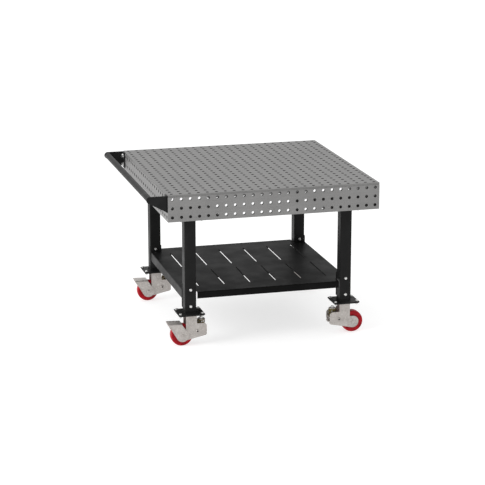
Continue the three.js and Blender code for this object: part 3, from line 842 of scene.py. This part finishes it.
def make_wheel(c, body, place):
    turn = place @ along((0, 1, 0), (WHEEL_X, 0, AXLE_Z))
    tyre = Piece(TYRE, place=turn)
    half = [(33.2, 20), (35, 21), (46, 21.6), (53, 22.6), (56.5, 23), (58.6, 22.4), (60.4, 20.6),
            (61.5, 17.5), (62.2, 12), (WHEEL_RADIUS, 5)]
    tyre.lathe([*[(a, -b) for a, b in half], *half[::-1]], sides=96)
    tyre.finish(f"{c}_tyre_tread", body, [f"{c}_tyre"], smooth=40)

    hub = Piece(NYLON, FASTENER, place=turn)
    profile = [(32.9, 20), (31.5, 20.6), (29.5, 20), (28.5, 7), (21, 6), (18, 9), (17, 24), (13.5, 24.4)]
    hub.lathe([*[(a, -b) for a, b in profile], *profile[::-1]], sides=64)
    rib = [(15, -22), (24, -15), (30, -17), (30, 17), (24, 15), (15, 22)]
    for i in range(8):
        spin = Matrix.Rotation(i * math.pi / 4, 4, "Z")
        hub.slab(rib, (-1.6, 1.6), edge=0.4, matrix=spin @ upright_xz())
    for side in (-1, 1):
        inner, outer = side * 21, side * 24.2
        sleeve = [(PIN_BORE, inner), (13.4, inner), (13.4, outer), (PIN_BORE, outer)]
        hub.lathe(sleeve, sides=40, look=1)
    hub.finish(f"{c}_hub_ribbed", body, [f"{c}_hub"])


def make_spring(c, body, place):
    """Coil spring, its end turns closed and ground; the stud and washer above are separate."""
    turns, steps, sides, closed_turns = 4.6, 30, 10, 0.8
    radius = SPRING_RADIUS - WIRE / 2
    low, high = SPRING_LOW + WIRE * 0.42, SPRING_HIGH - WIRE * 0.42
    rings, total = [], int(turns * steps)
    for i in range(total + 1):
        share = i / total
        lead = min(max((share * turns - closed_turns) / (turns - 2 * closed_turns), 0), 1)
        z = low + (high - low) * lead
        a = 2 * math.pi * turns * share
        out = Vector((math.cos(a), math.sin(a), 0))
        wire = WIRE / 2 * (0.75 if i in (0, total) else 1)
        ring = []
        for k in range(sides):
            t = 2 * math.pi * k / sides
            height = min(max(z + wire * math.sin(t), SPRING_LOW), SPRING_HIGH)
            spot = out * (radius + wire * math.cos(t))
            ring.append((SPRING_X + spot.x, spot.y, height))
        rings.append(ring)
    piece = Piece(SPRING, place=place)
    piece.rings(rings)
    made = piece.finish(f"{c}_coil_spring", body, [f"{c}_spring"], smooth=50)
    made.modifiers.clear()
    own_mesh(made)


def make_spring_bolt(c, body, place):
    piece = Piece(FASTENER, ZINC, place=place)
    up = Matrix.Translation((SPRING_X, 0, 0))
    piece.disc(21, (SPRING_HIGH + 0.3, SPRING_HIGH + 3.3), up, 0.5, 40, 1, bore=5.4)
    piece.disc(11.5, (SPRING_HIGH + 3.3, SPRING_HIGH + 5.2), up, 0.4, 28)
    piece.hexagon(17, (SPRING_HIGH + 5.1, SPRING_HIGH + 13.3), up)
    piece.thread(5, (SPRING_HIGH + 12, SPRING_HIGH + 15.3), up, 1.25)
    piece.lathe([(0.5, 52), (4.8, 52), (4.8, SPRING_HIGH + 6), (0.5, SPRING_HIGH + 6)], up, 24)
    piece.hexagon(16, (-53, -46.2), up @ along((0, 0, -1)))
    piece.finish(f"{c}_spring_bolt_nut", body, [f"{c}_spring_bolt"])


def make_pedal(c, body, place):
    """Brake pedal folded from one sheet, with pressed grip bars on its tread."""
    half, bend = 39, 6
    low_back, low_tip = Vector((-50, 0, 131 - bend)), Vector((-127, 0, 134 - bend))
    line = (low_back - low_tip).normalized()
    bore = circle(WHEEL_X, AXLE_Z, PIN_BORE, 28)
    side = belt([
        (WHEEL_X, AXLE_Z, 35),
        (low_back.x - 0.5, low_back.z - 0.5, 0.5),
        (low_tip.x + 2, low_tip.z - 2, 2),
    ])
    # The belt's points below the bend run from the tip round the axle to the back.
    below = [p for p in side if p[1] < low_back.z - 0.6]
    first = max(range(len(below)), key=lambda i: math.dist(below[i - 1], below[i]))
    ends = [(low_back.x, low_back.z), (low_tip.x, low_tip.z)]
    outline = [*below[first:], *below[:first], *ends]
    piece = Piece(ZINC, place=place)
    for y in (-half, half):
        piece.fill([outline, bore], y, upright_xz(), y > 0)
        pivot = low_tip + Vector((0, y - math.copysign(bend, y), 0))
        start, end = low_tip + Vector((0, y, 0)), low_back + Vector((0, y, 0))
        piece.fold(start, end, pivot, Vector(line), math.copysign(math.pi / 2, y))
    up = Vector((-line.z, 0, line.x)) * bend
    flat = half - bend
    corners = [low_tip + up + Vector((0, -flat, 0)), low_back + up + Vector((0, -flat, 0)),
               low_back + up + Vector((0, flat, 0)), low_tip + up + Vector((0, flat, 0))]
    piece.bm.faces.new([piece.bm.verts.new(place @ p) for p in corners])
    piece.finish(f"{c}_pedal_folded", body, [f"{c}_pedal"], sheet=3, edge=0.35)

    grip = Piece(ZINC, place=place)
    bar = rectangle((-1.6, 1.6), (-26, 26), 1.5)
    lean = Vector((1, 0, 0)).rotation_difference(line).to_matrix().to_4x4()
    for i in range(6):
        spot = low_tip.lerp(low_back, 0.12 + 0.11 * i) + up * 0.98
        grip.slab(bar, (-0.3, 0.9), edge=0.4, matrix=Matrix.Translation(spot) @ lean)
    grip.finish(f"{c}_pedal_grip", body, [])


def make_caster(name, sx, sy):
    c = f"caster_{name}"
    place = Matrix.Translation((sx * LEG, sy * LEG, 0))
    if sx > 0:
        place = place @ Matrix.Rotation(math.pi, 4, "Z")
    make_mount_plate(c, place)
    make_yoke(c, f"{name}_swivel", place)
    make_arm(c, f"{name}_arm", place)
    make_pins(c, f"{name}_swivel", f"{name}_arm", place, sx < 0)
    make_wheel(c, f"{name}_wheel", place)
    make_spring(c, f"{name}_swivel", place)
    make_spring_bolt(c, f"{name}_spring_bolt", place)
    if sx < 0:
        make_pedal(c, f"{name}_brake", place)


# ------------------------------------------------------------------------------- build it all

make_top()
make_skirt("front", upright_xz(-HALF), HALF)
make_skirt("rear", upright_xz(HALF - PLATE), HALF)
make_skirt("left", upright_yz(-HALF), HALF - PLATE)
make_skirt("right", upright_yz(HALF - PLATE), HALF - PLATE)
make_stiffeners()
for corner, (sx, sy) in CORNERS.items():
    make_leg(corner, sx, sy)
    make_caster(corner, sx, sy)
make_shelf()
make_rail("left", -1)
make_rail("right", 1)
make_beam()
make_handle()


# ---------------------------------------------------------------------- floor, light and camera

def make_floor():
    look = Looks("studio_floor", Roughness=0.9, Specular_IOR_Level=0.1, Emission_Strength=0.68)
    look.shader.inputs["Emission Color"].default_value = (1, 1, 1, 1)
    look.colours(look.noise(1.5, 3), [(0.3, grey(0.41)), (0.7, grey(0.43))])
    bm = bmesh.new()
    bmesh.ops.create_grid(bm, x_segments=8, y_segments=8, size=60)
    mesh = bpy.data.meshes.new("studio_floor")
    bm.to_mesh(mesh)
    bm.free()
    mesh.materials.append(look.material)
    made = bpy.data.objects.new("studio_floor", mesh)
    bpy.context.scene.collection.objects.link(made)


def area_light(name, spot, target, size, power):
    data = bpy.data.lights.new(name, "AREA")
    data.shape = "RECTANGLE"
    data.size, data.size_y = size
    data.energy = power
    made = bpy.data.objects.new(name, data)
    made.location = spot
    made.rotation_mode = "QUATERNION"
    made.rotation_quaternion = (Vector(target) - Vector(spot)).to_track_quat("-Z", "Y")
    bpy.context.scene.collection.objects.link(made)


def make_light():
    world = bpy.data.worlds.new("studio")
    bpy.context.scene.world = world
    world.use_nodes = True
    tree = world.node_tree
    sky = tree.nodes["Background"]
    sky.inputs["Color"].default_value = (1, 1, 1, 1)
    direction = tree.nodes.new("ShaderNodeTexCoord").outputs["Generated"]
    parts = tree.nodes.new("ShaderNodeSeparateXYZ")
    tree.links.new(direction, parts.inputs["Vector"])
    dimmer = tree.nodes.new("ShaderNodeMapRange")
    dimmer.inputs["From Min"].default_value, dimmer.inputs["From Max"].default_value = -0.9, 0.3
    dimmer.inputs["To Min"].default_value, dimmer.inputs["To Max"].default_value = 0.69, 1.02
    tree.links.new(parts.outputs["Y"], dimmer.inputs["Value"])
    tree.links.new(dimmer.outputs["Result"], sky.inputs["Strength"])
    area_light("key_left", (-5.5, -1.6, 3.6), (0, 0, 0.6), (3.0, 3.0), 230)
    area_light("overhead", (0.3, 0.6, 5.5), (0, 0, 0.5), (4.5, 4.5), 40)


def make_camera():
    data = bpy.data.cameras.new("camera")
    data.sensor_width = 36
    data.lens = 130.77
    data.clip_end = 200
    made = bpy.data.objects.new("camera", data)
    made.location = (-2.5489, -9.5625, 3.0894)
    made.rotation_mode = "QUATERNION"
    made.rotation_quaternion = Vector((0.252, 0.9326, -0.2583)).to_track_quat("-Z", "Y")
    bpy.context.scene.collection.objects.link(made)
    bpy.context.scene.camera = made


make_floor()
make_light()
make_camera()
bpy.context.scene.view_settings.view_transform = "Standard"
